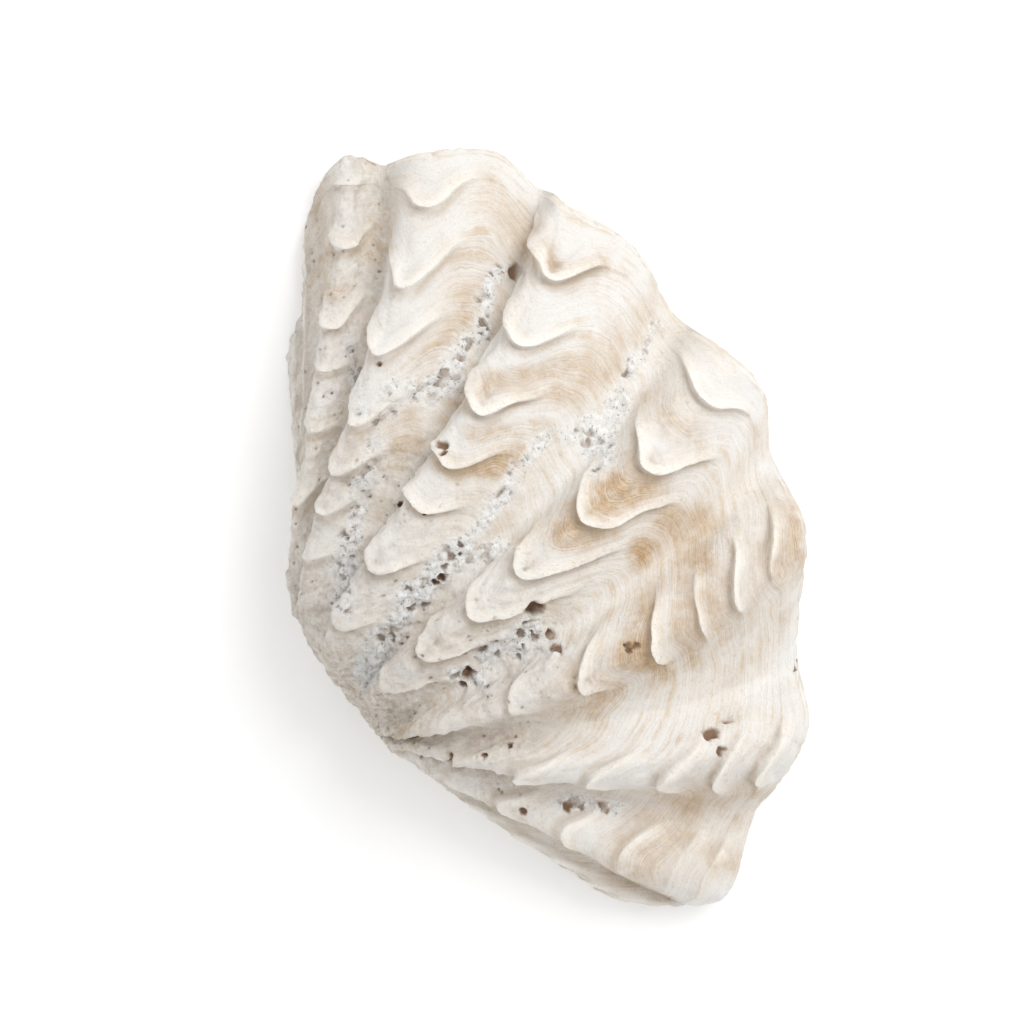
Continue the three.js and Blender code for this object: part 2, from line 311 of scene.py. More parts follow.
def smooth(low, high, value):
    """A soft step from 0 at low to 1 at high."""
    part = np.clip((value - low) / (high - low), 0, 1)
    return part * part * (3 - 2 * part)


def lerp(start, end, part):
    """The value a part of the way from start to end."""
    return start + (end - start) * part


# Growth form

def share_at(swing):
    """Share of full size that the margin had at a swing round the hinge."""
    curl = np.maximum(0, swing - CURL_FROM)
    return np.exp(-(SHRINK * swing + SHRINK_FASTER * swing ** 2 + CURL * curl ** 2))


def grow(x, y, z, lean, swing):
    """A point of the margin carried up the spiral, from the umbo."""
    share = share_at(swing)
    turn = lean * (1 - share)
    along = np.cos(turn) * x - np.sin(turn) * y
    out = np.sin(turn) * x + np.cos(turn) * y
    draw_in = DRAW_IN * smooth(DRAW_IN_FROM, DRAW_IN_TO, x)
    narrowing = 1 - draw_in * np.minimum(1 - np.cos(swing), DRAW_IN_MOST)
    height = z * smooth(*FOLDS_FADE, share)
    back = smooth(*SWELL_RISE, swing) * (1 - smooth(*SWELL_FALL, swing))
    swell = SWELL * back * (1 - smooth(SWELL_TO, SWELL_FROM, x))
    return np.stack(np.broadcast_arrays(
        share * along * narrowing,
        share * (out * np.cos(swing) - height * np.sin(swing)) - swell,
        share * (out * np.sin(swing) * DOME + height * np.cos(swing)) + BEAK_LIFT * (1 - share) ** 3,
    ), axis=-1)


def margin_plan(places):
    """The margin in plan at places counted in margin points: a centripetal curve through them."""
    points = np.array([MARGIN_START] + [point for rib in RIBS for point in rib[:3]])
    padded = np.vstack([2 * points[0] - points[1], points, 2 * points[-1] - points[-2]])
    index = np.minimum(places.astype(int), len(points) - 2)
    part = (places - index)[:, None]
    before, start, end, after = (padded[index + step] for step in range(4))
    pairs = ((before, start), (start, end), (end, after))
    first, gap, last = (np.sqrt(np.linalg.norm(b - a, axis=1))[:, None] for a, b in pairs)
    leave = (start - before) / first - (end - before) / (first + gap) + (end - start) / gap
    arrive = (end - start) / gap - (after - start) / (gap + last) + (after - end) / last
    leave, arrive = leave * gap, arrive * gap
    return (start + leave * part + (-3 * start + 3 * end - 2 * leave - arrive) * part ** 2
            + (2 * start - 2 * end + leave + arrive) * part ** 3)


def fold_height(wall, flank):
    """Height of a fold, from 0 at its feet to 1 at its crest."""
    def fall(part):
        return 1 / (1 + (part / CREST_WIDTH) ** CREST_ROUNDING)
    before = 1 - (1 - wall) ** WALL_ROUNDING
    behind = (fall(flank) - fall(1)) / (1 - fall(1))
    return np.where(wall < 1, before, behind)


class Margin:
    """Columns of the valve: places on the margin, and what their ribs give them."""

    def __init__(self, columns_per_rib):
        places = np.linspace(0, 3 * len(RIBS), columns_per_rib * len(RIBS) + 1)
        self.rib = np.minimum((places / 3).astype(int), len(RIBS) - 1)
        self.local = places - 3 * self.rib
        wall = np.minimum(self.local, 1)
        flank = np.maximum(self.local - 1, 0) / 2
        self.xy = margin_plan(places)
        self.rib_height = np.array([rib[3] for rib in RIBS], float)[self.rib]
        self.z = self.rib_height * fold_height(wall, flank)
        self.lean = np.radians(self.mix(np.array([[rib[4]] for rib in RIBS], float), wall, flank))[:, 0]
        self.scales = self.mix(np.array(SCALES), wall, flank)

    def mix(self, values, wall, flank):
        own = values[self.rib]
        before = values[np.maximum(self.rib - 1, 0)]
        after = values[np.minimum(self.rib + 1, len(RIBS) - 1)]
        from_before = (MIX_BEFORE * (1 - wall))[:, None]
        from_after = (MIX_AFTER * smooth(0, 1, flank))[:, None]
        return own + from_before * (before - own) + from_after * (after - own)


def push_out(points, distance):
    """Points moved away from the line along the middle of the cavity."""
    start, end = CAVITY
    line = end - start
    part = np.clip(((points - start) @ line) / (line @ line), 0, 1)
    ray = points - (start + part[..., None] * line)
    return points + ray * (distance / np.linalg.norm(ray, axis=-1))[..., None]


# Noise on points, in cells of one unit

def hashed(cell, seed):
    """A repeatable number from 0 to 1 for each whole-number cell."""
    value = (cell[..., 0].astype(np.uint32) * np.uint32(374761393)
             + cell[..., 1].astype(np.uint32) * np.uint32(668265263)
             + cell[..., 2].astype(np.uint32) * np.uint32(2147483647)
             + np.uint32(seed * 1274126177 & 0xFFFFFFFF))
    value = (value ^ (value >> np.uint32(13))) * np.uint32(1103515245)
    value = (value ^ (value >> np.uint32(15))) * np.uint32(2246822519)
    return ((value ^ (value >> np.uint32(16))) & np.uint32(0xFFFFFF)) / float(0xFFFFFF)


def noise(points, seed):
    """Smooth noise from -1 to 1."""
    cell = np.floor(points).astype(np.int64)
    part = points - cell
    part = part * part * (3 - 2 * part)
    total = 0
    for corner in np.ndindex(2, 2, 2):
        weight = 1
        for axis, step in enumerate(corner):
            weight = weight * (part[..., axis] if step else 1 - part[..., axis])
        total = total + weight * hashed(cell + np.array(corner), seed)
    return 2 * total - 1


def rough(points, octaves, seed):
    """Noise with finer noise on it."""
    total = 0
    for octave in range(octaves):
        total = total + noise(points * 2.03 ** octave + 17.3 * octave, seed + octave) * 0.5 ** octave
    return total


def crumbs(points, seed):
    """Distance to the nearest of scattered crumb centres, and a number for that crumb."""
    cell = np.floor(points).astype(np.int64)
    nearest = np.full(points.shape[:-1], 9.0)
    crumb = np.zeros(points.shape[:-1])
    for step in np.ndindex(3, 3, 3):
        other = cell + np.array(step) - 1
        centre = other + np.stack([hashed(other, seed + axis) for axis in range(3)], axis=-1)
        distance = np.linalg.norm(points - centre, axis=-1)
        closer = distance < nearest
        nearest = np.where(closer, distance, nearest)
        crumb = np.where(closer, hashed(other, seed + 7), crumb)
    return nearest, crumb


def lines(values, seed):
    """Noise along one number, from -1 to 1."""
    points = np.stack([values, np.zeros_like(values), np.zeros_like(values)], axis=-1)
    return noise(points, seed)


# Marks placed on the photograph

def photo_pixels(points):
    """Where points, in millimetres from the umbo, lie on the photograph."""
    row = points + UMBO
    x = row[..., 0] - CAMERA_PLACE[0]
    y = row[..., 1] - CAMERA_PLACE[1]
    scale = FOCAL_PIXELS / (CAMERA_HEIGHT - row[..., 2])
    right = (math.cos(CAMERA_ROLL) * x + math.sin(CAMERA_ROLL) * y) * scale
    up = (-math.sin(CAMERA_ROLL) * x + math.cos(CAMERA_ROLL) * y) * scale
    return np.stack([PHOTO_SIZE / 2 + right, PHOTO_SIZE / 2 - up], axis=-1)


def strokes(pixels, marks, softness):
    """Strength of soft strokes on the photograph."""
    total = np.zeros(pixels.shape[:-1])
    for start, end, width, strength in marks:
        start = np.array(start, float)
        line = np.array(end, float) - start
        part = np.clip(((pixels - start) @ line) / max(line @ line, 1e-9), 0, 1)
        distance = np.linalg.norm(pixels - start - part[..., None] * line, axis=-1)
        fall = 1 - smooth(width * (1 - softness), width * (1 + softness), distance)
        total = np.maximum(total, strength * fall)
    return total


# Outside surface

def outside_rows(margin):
    """Swings of the rows, evenly spaced along the longest column."""
    fine = np.linspace(0, SWING_END, 2000)
    longest = np.argmax(margin.xy[:, 1])
    x, y = margin.xy[longest]
    column = grow(x, y, margin.z[longest], margin.lean[longest], fine)
    steps = np.linalg.norm(np.diff(column, axis=0), axis=1)
    length = np.concatenate([[0], np.cumsum(steps)])
    return np.interp(np.linspace(0, length[-1], ROWS + 1), length, fine)


def scale_level(margin, share):
    """How many scales lie between the margin and each place: whole numbers are the lips."""
    level = np.zeros((len(margin.z), len(share)))
    before = np.ones(len(margin.z))
    for number in range(margin.scales.shape[1]):
        own = margin.scales[:, number]
        level += np.clip((before[:, None] - share) / (before - own)[:, None], 0, 1)
        before, gap = own, before - own
    level += np.maximum(0, (before[:, None] - share) / gap[:, None])
    return level


def surface_normals(points):
    """Directions square to the surface, away from the hollow."""
    across = np.gradient(points, axis=0)
    down = np.gradient(points, axis=1)
    normals = np.cross(down, across)
    length = np.linalg.norm(normals, axis=-1, keepdims=True)
    normals = normals / np.maximum(length, 1e-9)
    outward = push_out(points, 1.0) - points
    flip = np.sign(np.sum(normals * outward, axis=-1, keepdims=True).mean())
    return normals * (flip if flip else 1)


def slope_of(values, points):
    """How fast values change along the surface, per millimetre."""
    across = np.gradient(points, axis=0)
    down = np.gradient(points, axis=1)
    change_across = np.gradient(values, axis=0)
    change_down = np.gradient(values, axis=1)
    wide = np.sum(across * across, axis=-1)
    skew = np.sum(across * down, axis=-1)
    long = np.sum(down * down, axis=-1)
    area = np.maximum(wide * long - skew * skew, 1e-6)
    change = long * change_across ** 2 - 2 * skew * change_across * change_down + wide * change_down ** 2
    return np.sqrt(np.maximum(change, 0) / area)


def round_grooves(margin, points):
    """Rounds the crease at the foot of each fold, away from the two ends."""
    columns = len(points)
    reach = int(GROOVE_ROUNDING * COLUMNS_PER_RIB)
    padded = np.pad(points, ((reach, reach), (0, 0), (0, 0)), mode="edge")
    sums = np.cumsum(np.concatenate([np.zeros((1,) + points.shape[1:]), padded]), axis=0)
    mean = (sums[2 * reach + 1:] - sums[:columns]) / (2 * reach + 1)
    to_foot = np.minimum(margin.local, 3 - margin.local)
    number = np.arange(columns)
    inner = smooth(0, 2 * reach, np.minimum(number, number[::-1]))
    weight = np.exp(-(to_foot / 0.3) ** 2) * inner
    return lerp(points, mean, weight[:, None, None])


def beside_hood(margin, share):
    """Distance from the middle of the rib's hoods, in half widths of a hood."""
    steps = np.linalg.norm(np.diff(margin.xy, axis=0), axis=1)
    along = np.concatenate([[0], np.cumsum(steps)])
    crests = along[np.arange(len(RIBS)) * COLUMNS_PER_RIB + COLUMNS_PER_RIB // 3]
    middle = crests + np.array(HOOD_SHIFTS, float)
    away = (along - middle[margin.rib]) / np.array(HOOD_WIDTHS, float)[margin.rib]
    return away[:, None] * share ** HOOD_NARROWING


def bow_lag(margin, share, away):
    """How far each place's growth lines lag behind the hood's, in scales."""
    depth = lerp(BOW_LAG_OLD, BOW_LAG, smooth(0.35, 0.8, share))
    lag = depth * (1 - np.exp(-1.1 * away ** 2))
    side = np.exp(-((margin.local - 2.4) / 0.5) ** 2)
    lag = lag + 0.06 * side[:, None]
    padded = np.pad(lag, [(BOW_BLUR // 2 + 1, BOW_BLUR // 2), (0, 0)], mode="edge")
    sums = np.cumsum(padded, axis=0)
    return (sums[BOW_BLUR:] - sums[:-BOW_BLUR]) / BOW_BLUR


def bell(value, width):
    """A soft peak of 1 where value is 0."""
    return np.exp(-(value / width) ** 2)


def lip_size(margin, share, points, strength):
    """How high the lips stand at each place, before each scale's own luck."""
    grown = LIP_LEAST + LIP_HEIGHT * (margin.rib_height / FULL_RIB)[:, None]
    grown = grown * np.array(SCALES_GROWN)[margin.rib][:, None]
    worn_with_age = 0.5 + 0.5 * smooth(0.25, 0.75, share)
    uneven = 1 + 0.22 * rough(points / 4.5, 2, 13)
    return grown * strength * worn_with_age * uneven


def scale_relief(margin, share, level, points, away):
    """Height of the scales in millimetres, and where their lips, hollows and feet lie, with the lips'
    painted highlight and the painted shadow at their feet.
    """
    slope = np.maximum(slope_of(level, points), 0.02)
    up = np.maximum(np.ceil(level), 1)
    down = np.floor(level)
    to_lip = (up - level) / slope
    past_lip = (level - down) / slope
    luck = np.random.default_rng(11).uniform(*SCALES_VARY, (len(RIBS), SCALES_MOST))
    strength = np.exp(-(np.abs(away) / 1.25) ** 4)
    short_side = (margin.rib >= SHORT_SIDE_FROM)[:, None]
    kept = np.where(short_side, smooth(0.34, 0.6, share), smooth(0.22, 0.42, share))
    size = kept * lip_size(margin, share, points, strength)
    own = size * luck[margin.rib[:, None], np.minimum(up, SCALES_MOST - 1).astype(int)]
    passed = size * luck[margin.rib[:, None], np.minimum(down, SCALES_MOST - 1).astype(int)] * (down > 0)

    edge = bell(to_lip, EDGE_WIDTH)
    bead_at, bead_width, bead_height = BEAD
    rise = 0.62 * edge + 0.38 * np.exp(-to_lip / RISE_LENGTH)
    rise += bead_height * bell(to_lip - bead_at, bead_width)
    dip_at, dip_width, dip_depth = DIP
    drop = bell(past_lip, DROP_LENGTH)
    height = np.maximum(own * rise, passed * drop) - dip_depth * own * bell(to_lip - dip_at, dip_width)
    flare = np.maximum(own * edge, passed * drop ** 2)

    shown = strength * kept
    in_front = shown * (down > 0)
    # Lip edges: partly the lips' own cream, partly a painted highlight where the edges catch the light
    lip_highlight = np.maximum(shown * bell(to_lip, 1.95), in_front * bell(past_lip, 0.6))
    # Painted shadow: a band just below each lip, where its step hides the surface from the light
    step = in_front * bell(past_lip - 1.9, 0.9)
    spoon = strength * bell(to_lip - 7, 5)
    return height, flare, lip_highlight, spoon, step


def stain_marks(margin, share, points, shaky):
    """Tan stains: those of the photograph, and blotches on the flanks."""
    marks = [(start, end, width * STAINS_WIDER, strength) for start, end, width, strength in STAINS]
    stain = strokes(shaky, marks, 0.8)
    on_flank = smooth(1.6, 2.2, margin.local) * (1 - smooth(2.7, 3.0, margin.local))
    blotch = smooth(0.0, 0.7, rough(points / 14, 3, 55)) * smooth(0.3, 0.45, share)
    return np.maximum(np.minimum(1, STAINS_DEEPER * stain), 0.5 * on_flank[:, None] * blotch)


def crust_relief(points, crust):
    """Blocks of grown-on crust, and the gaps between them."""
    distance, crumb = crumbs(points / CRUST_BLOCK, 61)
    block = np.clip(1.5 * crust - 0.55 + 0.4 * noise(points / 6, 63), 0, 1)
    lump = np.clip(1 - distance / 0.8, 0, 1) ** 0.35 * (0.1 + 1.1 * crumb)
    gap = block * smooth(0.22, 0.1, crumb)
    relief = block * (1.2 * lump - 0.35) + 0.4 * crust * rough(points / 1.5, 3, 67) - 0.9 * gap
    return relief, gap


def aged_relief(points, aged):
    """Knobs, roughness and small pocks of the old parts."""
    distance, grain = crumbs(points / POCK_SPACING, 71)
    pock_size = 0.15 + 3 * np.maximum(0, grain - 0.88)
    pock = aged * smooth(pock_size, 0.4 * pock_size, distance) * (grain > 0.86)
    knob = np.clip(rough(points / 4.2, 2, 95), -0.6, 1)
    return aged * (0.6 * rough(points / 1.8, 3, 91) + 0.75 * knob) - 0.8 * pock, pock


def hole_relief(pixels, points):
    """Ragged holes with a slightly raised rim, and where they are."""
    relief = np.zeros(points.shape[:-1])
    hole = np.zeros(points.shape[:-1])
    shift = np.stack([rough(points / 1.6, 2, 121), rough(points / 1.6, 2, 131)], axis=-1)
    ragged = pixels + HOLE_RAGGED * shift
    for centre, radius, depth in HOLES:
        away = np.linalg.norm(ragged - np.array(centre, float), axis=-1) / HOLE_WIDER
        inside = 1 - smooth(0.7, 1.05, away / radius)
        relief += 0.25 * bell(away / radius - 1.35, 0.28) - HOLE_DEPTH * depth * inside
        hole = np.maximum(hole, inside)
    return relief, hole


def deepest_relief(margin, share):
    """How far the relief may cut in, so that the wall isn't broken through."""
    deepest = lerp(DEEPEST_AT_RIM, DEEPEST, smooth(0.97, 0.7, share))
    to_foot = np.minimum(0.4 * margin.local, 3 - margin.local)
    in_groove = bell(to_foot, 0.3)[:, None] * smooth(0.4, 0.6, share)
    return lerp(deepest, DEEPEST_IN_GROOVE, in_groove)


def raise_relief(points, relief, flare):
    """Points moved out by their relief, with the lips drawn out towards the umbo."""
    towards_umbo = np.gradient(points, axis=1)
    towards_umbo /= np.maximum(np.linalg.norm(towards_umbo, axis=-1, keepdims=True), 1e-9)
    raised = points + surface_normals(points) * relief[..., None]
    raised += towards_umbo * LIP_FLARE * flare[..., None]
    above = np.maximum(0, raised[..., 2] - WORN_ABOVE)
    raised[..., 2] -= (1 - WORN_LEFT) * above
    return raised


def outside_surface(margin):
    """Points and marks of the outside, one row of values per column of the margin."""
    swing = outside_rows(margin)
    share = share_at(swing)[None, :]
    x, y, z = margin.xy[:, :1], margin.xy[:, 1:], margin.z[:, None]
    points = round_grooves(margin, grow(x, y, z, margin.lean[:, None], swing[None, :]))
    away = beside_hood(margin, share)
    lag = bow_lag(margin, share, away) * smooth(0, 8, margin.rib_height)[:, None]
    level = scale_level(margin, share[0]) + lag * smooth(1.0, 0.93, share)
    level = level + 0.10 * noise(points / 9, 3) * smooth(1.0, 0.9, share)

    pixels = photo_pixels(points)
    wobble = np.stack([rough(points / 5, 3, 21), rough(points / 5, 3, 31)], axis=-1)
    shaky = pixels + STROKES_WOBBLE * wobble
    stain = stain_marks(margin, share, points, shaky)
    crust = strokes(shaky, CRUSTS, 0.7)
    crust = np.clip(crust * (1.15 + 0.5 * noise(points / 3.2, 69)), 0, 1)
    calm = 1 - strokes(shaky, CALM, 0.5)
    hoods = scale_relief(margin, share, level, points, away)
    relief, flare, lip_highlight, spoon, step = (value * calm for value in hoods)

    growth = 0.6 * lines(level * 9 + 0.6 * noise(points / 6, 41), 5) + 0.4 * lines(level * 23, 6)
    bands = 0.65 + 0.35 * lines(level * 3.2, 8)
    relief = relief * (1 - 0.6 * crust)
    relief += GROWTH_LINES * growth * (1 - 0.5 * np.clip(spoon + lip_highlight, 0, 1))
    relief += 0.5 * rough(points / 13, 2, 51) * smooth(1.0, 0.85, share)
    tube = np.exp(-away ** 2) * smooth(0, 14, margin.rib_height)[:, None]
    tube_shown = smooth(0.12, 0.4, share) * smooth(1.0, 0.9, share)
    relief += (TUBE_HEIGHT * tube - TUBE_SUNK * (1 - tube)) * tube_shown
    for start, end, width, height in DOMES:
        relief += height * strokes(shaky, [(start, end, width, 1)], 0.9)
    from_margin = (1 - share) * MARGIN_REACH
    relief -= EDGE_ROUNDING * bell(from_margin, 1.2)
    relief -= EDGE_CHIPS * np.clip(rough(points / 3, 3, 53), 0, 1) * bell(from_margin, 2.5)

    aged = smooth(0.78, 0.42, share) * (0.75 + 0.5 * noise(points / 11, 57))
    aged = np.clip(np.maximum(aged, 0.75 * (margin.rib[:, None] < ROUGH_RIBS)), 0, 1)
    # Where the old colour goes, near the umbo and on aged parts; it is partly painted shade of the side
    # away from the light
    aged_and_shaded = np.maximum(smooth(0.52, 0.2, share), 0.5 * aged)
    crusted, gap = crust_relief(points, crust)
    knobbed, pock = aged_relief(points, aged)
    bored, hole = hole_relief(pixels, points)
    relief = relief + crusted + knobbed + bored
    relief = np.clip(relief, -deepest_relief(margin, share), HIGHEST)

    # Painted shade: how far each place lies below the relief around it, for darkening the hollows
    hollow_shade = relief - blurred(relief, 4)
    bright = np.maximum(spoon, 0.8 * tube * tube_shown)
    # Bored holes, gaps between crust blocks and pocks, which the material colours dark brown
    pit = np.maximum(hole, 0.7 * gap + 0.6 * pock)
    unused = np.zeros_like(level)
    # Marks per point: lip edges with painted highlight, clean hoods and painted shadow below the lips;
    # stains, crust, old colour that is partly painted shade, and pits; painted shade in hollows, and how
    # far each place has grown
    marks = {
        "hoods_and_painted_light": np.stack([lip_highlight, bright, step, unused], axis=-1),
        "stains_and_shade": np.stack([stain * bands, crust, aged_and_shaded, pit], axis=-1),
        "form": np.stack([0.5 + 0.25 * hollow_shade, unused, unused, level / LEVELS], axis=-1),
    }
    return raise_relief(points, relief, flare), marks


def blurred(values, radius):
    """Mean over a square of grid points."""
    for axis in (0, 1):
        around = [(0, 0), (0, 0)]
        around[axis] = (radius + 1, radius)
        padded = np.pad(values, around, mode="edge")
        sums = np.cumsum(padded, axis=axis)
        high = np.take(sums, range(2 * radius + 1, sums.shape[axis]), axis=axis)
        low = np.take(sums, range(0, sums.shape[axis] - 2 * radius - 1), axis=axis)
        values = (high - low) / (2 * radius + 1)
    return values


def length_shares(line):
    """How far along a line each of its points lies, from 0 to 1."""
    steps = np.linalg.norm(np.diff(line, axis=0), axis=1)
    length = np.concatenate([[0], np.cumsum(steps)])
    return length / length[-1]


def foot_columns(line):
    """Columns from the ground up to an end column, drawn in under it."""
    inset = UNDERCUT * smooth(0, UNDERCUT_BY, length_shares(line))
    foot = np.stack([line[:, 0], line[:, 1] + inset, np.zeros(len(line))], axis=-1)
    columns = []
    for number in range(FOOT_STEPS):
        part = number / FOOT_STEPS
        column = lerp(foot, line, part)
        column[:, 1] -= 0.12 * line[:, 2] * math.sin(math.pi * part)
        lumps = 0.9 * rough(column / 4.5, 2, 103) + 0.6 * rough(column / 2.0, 2, 101)
        column[:, 1] -= lumps * math.sin(math.pi * part) * smooth(0, 3, line[:, 2])
        columns.append(column)
    return columns


# Inside surface

def inside_surface(margin):
    """Points of the hollow, one row per column of the margin."""
    lowest = np.min([np.roll(margin.z, step) for step in range(-2, 3)], axis=0)
    fold = np.maximum(0, INSIDE_FOLDS * lowest - INSIDE_DROP)
    rim = push_out(np.column_stack([margin.xy, np.zeros(len(fold))]), np.full(len(fold), -RIM_THICKNESS))
    part = np.linspace(0, 1, INSIDE_ROWS + 1)[None, :]
    height = fold[:, None] * (1 - smooth(0, 0.6, part))
    points = grow(rim[:, :1], rim[:, 1:2], height, margin.lean[:, None], INSIDE_SWING * part)
    wall = WALL_THICKNESS * smooth(0, 0.35, part)
    wall = wall + (HINGE_THICKNESS - WALL_THICKNESS) * smooth(0.5, 1, part)
    to_foot = np.minimum(margin.local, 3 - margin.local)
    under_groove = np.exp(-(to_foot / 0.45) ** 2)[:, None]
    wall = wall + GROOVE_WALL * under_groove * smooth(0, 0.05, part) * (1 - smooth(0.4, 0.7, part))
    points = push_out(points, -wall * np.ones(points.shape[:2]))
    per_solid_column = COLUMNS_PER_SOLID_RIB / INSIDE_COLUMNS_PER_RIB
    number = np.arange(len(fold))
    from_end = np.minimum(number, number[::-1])[:, None] * per_solid_column
    least = INSIDE_RISE * np.minimum(from_end, 6) * part
    points[:, 1:, 2] = np.maximum(points[:, 1:, 2], least[:, 1:])
    points[0, :, 2] = 0
    points[-1, :, 2] = 0
    return points


# Mesh

class MeshParts:
    """Collects grids of points and the triangles between them."""

    def __init__(self):
        self.points = []
        self.marks = {"hoods_and_painted_light": [], "stains_and_shade": [], "form": []}
        self.triangles = []
        self.materials = []
        self.count = 0

    def add(self, points, marks=None):
        """Adds points and returns their numbers."""
        flat = points.reshape(-1, 3)
        plain = {"hoods_and_painted_light": (0, 0, 0, 0), "stains_and_shade": (0, 0, 0, 0), "form": (0.5, 0, 0, 1)}
        for name, values in self.marks.items():
            if marks is None:
                values.append(np.tile(np.array(plain[name], float), (len(flat), 1)))
            else:
                values.append(marks[name].reshape(-1, 4))
        self.points.append(flat)
        numbers = np.arange(self.count, self.count + len(flat)).reshape(points.shape[:-1])
        self.count += len(flat)
        return numbers

    def face(self, triangles, material):
        triangles = np.asarray(triangles).reshape(-1, 3)
        same = ((triangles[:, 0] == triangles[:, 1]) | (triangles[:, 1] == triangles[:, 2])
                | (triangles[:, 2] == triangles[:, 0]))
        triangles = triangles[~same]
        self.triangles.append(triangles)
        self.materials.append(np.full(len(triangles), material))

    def grid(self, numbers, material):
        a, b = numbers[:-1, :-1], numbers[1:, :-1]
        c, d = numbers[1:, 1:], numbers[:-1, 1:]
        self.face(np.stack([a, b, c], axis=-1), material)
        self.face(np.stack([a, c, d], axis=-1), material)

    def cap(self, edge, material):
        points = np.vstack(self.points)[edge]
        centre = self.add(points.mean(axis=0)[None, :])[0]
        following = np.roll(edge, -1)
        self.face(np.stack([np.full(len(edge), centre), edge, following], axis=-1), material)

    def build(self, name):
        mesh = bpy.data.meshes.new(name)
        triangles = np.vstack(self.triangles)
        mesh.vertices.add(self.count)
        mesh.vertices.foreach_set("co", (np.vstack(self.points) + UMBO).ravel() * MM)
        mesh.loops.add(triangles.size)
        mesh.loops.foreach_set("vertex_index", triangles.ravel().astype(np.int32))
        mesh.polygons.add(len(triangles))
        mesh.polygons.foreach_set("loop_start", np.arange(0, triangles.size, 3, dtype=np.int32))
        mesh.polygons.foreach_set("material_index", np.concatenate(self.materials).astype(np.int32))
        mesh.update(calc_edges=True)
        for mark, values in self.marks.items():
            layer = mesh.attributes.new(mark, "FLOAT_COLOR", "POINT")
            layer.data.foreach_set("color", np.clip(np.vstack(values), 0, 1).astype(np.float32).ravel())
        mesh.validate()
        piece = bpy.data.objects.new(name, mesh)
        bpy.context.scene.collection.objects.link(piece)
        return piece


def paired(left, right):
    """Steps along two lines of points at once: pairs of indices, one index moving at a time."""
    left_shares, right_shares = length_shares(left), length_shares(right)
    i = j = 0
    pairs = [(0, 0)]
    while i + 1 < len(left) or j + 1 < len(right):
        right_done = j + 1 >= len(right)
        if i + 1 < len(left) and (right_done or left_shares[i + 1] <= right_shares[j + 1]):
            i += 1
        else:
            j += 1
        pairs.append((i, j))
    return pairs


def band(parts, outer, inner, sections, material, shape):
    """A closed band between the outside's edge and the inside's, rounded by shape."""
    everything = np.vstack(parts.points)
    rungs = []
    for outer_part, inner_part in sections:
        pairs = paired(everything[outer[outer_part]], everything[inner[inner_part]])
        rungs += [(outer[outer_part][i], inner[inner_part][j]) for i, j in pairs[:-1]]
    rungs = np.array(rungs)
    start, end = everything[rungs[:, 0]], everything[rungs[:, 1]]
    part = (np.arange(1, LADDER_STEPS + 1) / (LADDER_STEPS + 1))[None, :, None]
    between = shape(lerp(start[:, None], end[:, None], part), part[..., 0])
    numbers = np.hstack([rungs[:, :1], parts.add(between), rungs[:, 1:]])
    # Rungs that share an end keep its point, so the last rung joins the first
    closed = np.vstack([numbers, numbers[:1]])
    parts.grid(closed, material)


def rim_shape(points, part):
    """Rounds and roughens the rim, and leaves the hinge plate flat on the ground."""
    rim = smooth(0.3, 2.5, points[:, :1, 2]) * np.ones(points.shape[:2])
    bulge = 0.5 + 0.25 * rough(points / 1.7, 2, 111)
    shaped = push_out(points, bulge * rim * np.sin(math.pi * part))
    groove = hinge_relief(points) * np.sin(math.pi * part)
    shaped[..., 2] = np.maximum(shaped[..., 2], 0) + groove * (1 - rim)
    return shaped


def hinge_relief(points):
    """Sunken furrows along the hinge plate: the ligament's bed and the sockets of its teeth."""
    x, y = points[..., 0], points[..., 1]
    near = np.exp(-(np.abs(x) / 45) ** 4)
    furrow = np.clip(np.sin(0.9 * y - 0.12 * x + 0.8), 0, 1) ** 2
    return 0.9 * near * furrow + 0.15 * np.clip(rough(points / 2.0, 2, 121), 0, 1)


def make_shell():
    """The whole valve as one closed mesh."""
    margin = Margin(COLUMNS_PER_RIB)
    raised, marks = outside_surface(margin)
    raised[..., 2] = np.maximum(raised[..., 2], 0)
    raised[0, 0, 2] = raised[-1, 0, 2] = 0
    parts = MeshParts()
    left = foot_columns(raised[0])
    right = foot_columns(raised[-1])
    outer_points = np.stack(left + list(raised) + right[::-1])
    outer_marks = {}
    for name, values in marks.items():
        first = np.repeat(values[:1], FOOT_STEPS, axis=0)
        last = np.repeat(values[-1:], FOOT_STEPS, axis=0)
        if name == "stains_and_shade":
            first[..., 2] = last[..., 2] = FOOT_AGED_AND_SHADED
        outer_marks[name] = np.concatenate([first, values, last])
    outer = parts.add(outer_points, outer_marks)
    # The foot columns start at the rim's end, which is one point
    outer[:FOOT_STEPS, 0] = outer[FOOT_STEPS, 0]
    outer[-FOOT_STEPS:, 0] = outer[-FOOT_STEPS - 1, 0]
    parts.grid(outer[::-1], 0)

    inner = parts.add(inside_surface(Margin(INSIDE_COLUMNS_PER_RIB)))
    parts.grid(inner, 1)

    parts.cap(outer[::-1, -1], 0)
    parts.cap(inner[:, -1], 1)

    rim_outer = outer[FOOT_STEPS:len(outer) - FOOT_STEPS, 0]
    rim_inner = inner[:, 0]
    plate_outer = np.concatenate([outer[-1, :], outer[0, ::-1]])
    plate_inner = np.concatenate([inner[-1, :], inner[0, ::-1]])
    outer_loop = np.concatenate([rim_outer, plate_outer])
    inner_loop = np.concatenate([rim_inner, plate_inner])
    rim_sections = [
        (slice(0, len(rim_outer)), slice(0, len(rim_inner))),
        (slice(len(rim_outer), len(outer_loop)), slice(len(rim_inner), len(inner_loop))),
    ]
    band(parts, outer_loop, inner_loop, rim_sections, 0, rim_shape)
    return parts.build("shell_valve")


